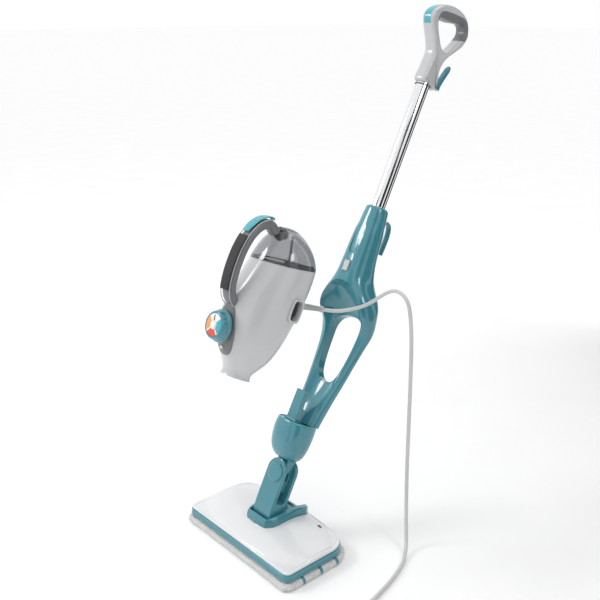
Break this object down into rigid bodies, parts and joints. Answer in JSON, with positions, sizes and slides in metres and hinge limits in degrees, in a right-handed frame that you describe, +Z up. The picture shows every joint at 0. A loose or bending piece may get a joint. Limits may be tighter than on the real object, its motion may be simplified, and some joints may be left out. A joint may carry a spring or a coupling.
{
  "type": "steam mop",
  "caption": "Steam mop with a flat rectangular pad head, tilting neck, curved cradle pole and a removable handheld steamer with a round dial and long mains cord.",
  "frame": {"origin": "on the floor under the middle of the pad's length, below the tilt axis of the joint", "axes": "+Z up, -Y towards the straight long edge at the front of the pad, +X along the pad's length; the pole leans back towards +Y"},
  "size_m": [0.6007, 0.6687, 0.991],
  "materials": {
    "terry_white": "looped microfibre",
    "teal_gloss": "gloss",
    "white_gloss": "gloss",
    "warm_white": "gloss",
    "aluminium": "rolled",
    "steel": "brushed",
    "bright_alloy": "polished",
    "grey_plastic": "satin",
    "light_grey": "satin",
    "dark_grey": "satin",
    "black_rubber": "matt",
    "smoked_clear": "smoked, see-through",
    "teal_light": "gloss",
    "dial_white": "printed",
    "cord_grey": "smooth",
    "board_green": "lacquered"
  },
  "bodies": {
    "head": {"mop_pad": "terry_white", "base_plate": "teal_gloss", "steam_plate": "aluminium", "head_cover": "white_gloss", "joint_socket": "teal_gloss", "steam_inlet": "dark_grey", "tilt_pin": "steel", "pad_release_stud": "dark_grey"},
    "tower": {"joint_fork": "teal_gloss", "boss_cap_front": "teal_gloss", "boss_cap_back": "teal_gloss", "swing_pin": "steel"},
    "pole": {"swing_tongue": "teal_gloss", "cup_housing": "teal_gloss", "cup_deck": "teal_gloss", "steam_block": "teal_gloss", "steam_duct": "dark_grey", "cradle_frame": "teal_gloss", "cradle_back": "teal_gloss", "cord_hook_lower": "teal_gloss", "pole_tube": "bright_alloy", "d_handle": "white_gloss", "handle_insert": "teal_light", "hook_pivot": "dark_grey", "cord_lower": "cord_grey", "cord_coil": "cord_grey", "cord_tail": "cord_grey", "plug_body": "cord_grey", "plug_pin_1": "steel", "plug_pin_2": "steel"},
    "button": {"release_button": "light_grey"},
    "hook": {"cord_hook_upper": "teal_gloss"},
    "trigger": {"steam_trigger": "teal_light"},
    "lock": {"trigger_lock": "teal_light"},
    "dial": {"dial_knob": "teal_gloss", "dial_face": "dial_white", "dial_shaft": "steel"},
    "handheld": {"body_shell": "warm_white", "boiler": "aluminium", "boiler_tray": "dark_grey", "control_board": "board_green", "cord_bush": "dark_grey", "cord_upper": "cord_grey", "dial_plate": "grey_plastic", "filler_pipe": "dark_grey", "handle_arm": "grey_plastic", "indicator_light": "dial_white", "outlet_pipe": "steel", "port_plug": "black_rubber", "port_rim": "warm_white", "port_seat": "dark_grey", "pump": "dark_grey", "rubber_grip": "black_rubber", "strain_relief": "light_grey", "tank_floor": "grey_plastic", "water_tank": "smoked_clear"}
  },
  "joints": [
    {"name": "tilt", "type": "hinge", "parent": "head", "child": "tower", "pos_m": [0, 0.00249, 0.05202], "axis": [-1, 0, 0], "range_deg": [-30, 40]},
    {"name": "swing", "type": "hinge", "parent": "tower", "child": "pole", "pos_m": [0, 0.04, 0.13], "axis": [0, 0.8888, -0.4583], "range_deg": [-40, 40]},
    {"name": "handheld_dock", "type": "slide", "parent": "pole", "child": "handheld", "axis": [0, 0.7111, -0.7031], "range_m": [0, 0.174], "deforming": ["cord_upper"]},
    {"name": "release_button", "type": "slide", "parent": "pole", "child": "button", "axis": [0, 0.8888, -0.4583], "range_m": [0, 0.003], "stiffness_N_per_m": 900, "springref_m": -0.002},
    {"name": "cord_hook", "type": "hinge", "parent": "pole", "child": "hook", "pos_m": [0, 0.45044, 0.83645], "axis": [0, 0.8888, -0.4583], "range_deg": [0, 180]},
    {"name": "steam_trigger", "type": "hinge", "parent": "handheld", "child": "trigger", "pos_m": [0, 0.02045, 0.6419], "axis": [1, 0, 0], "range_deg": [0, 2.5], "stiffness_Nm_per_rad": 1.5, "springref_deg": -1.72},
    {"name": "trigger_lock", "type": "slide", "parent": "handheld", "child": "lock", "axis": [1, 0, 0], "range_m": [0, 0.004]},
    {"name": "steam_dial", "type": "hinge", "parent": "handheld", "child": "dial", "pos_m": [0, -0.08727, 0.46792], "axis": [0, -0.9318, 0.3629], "range_deg": [0, 240]}
  ]
}
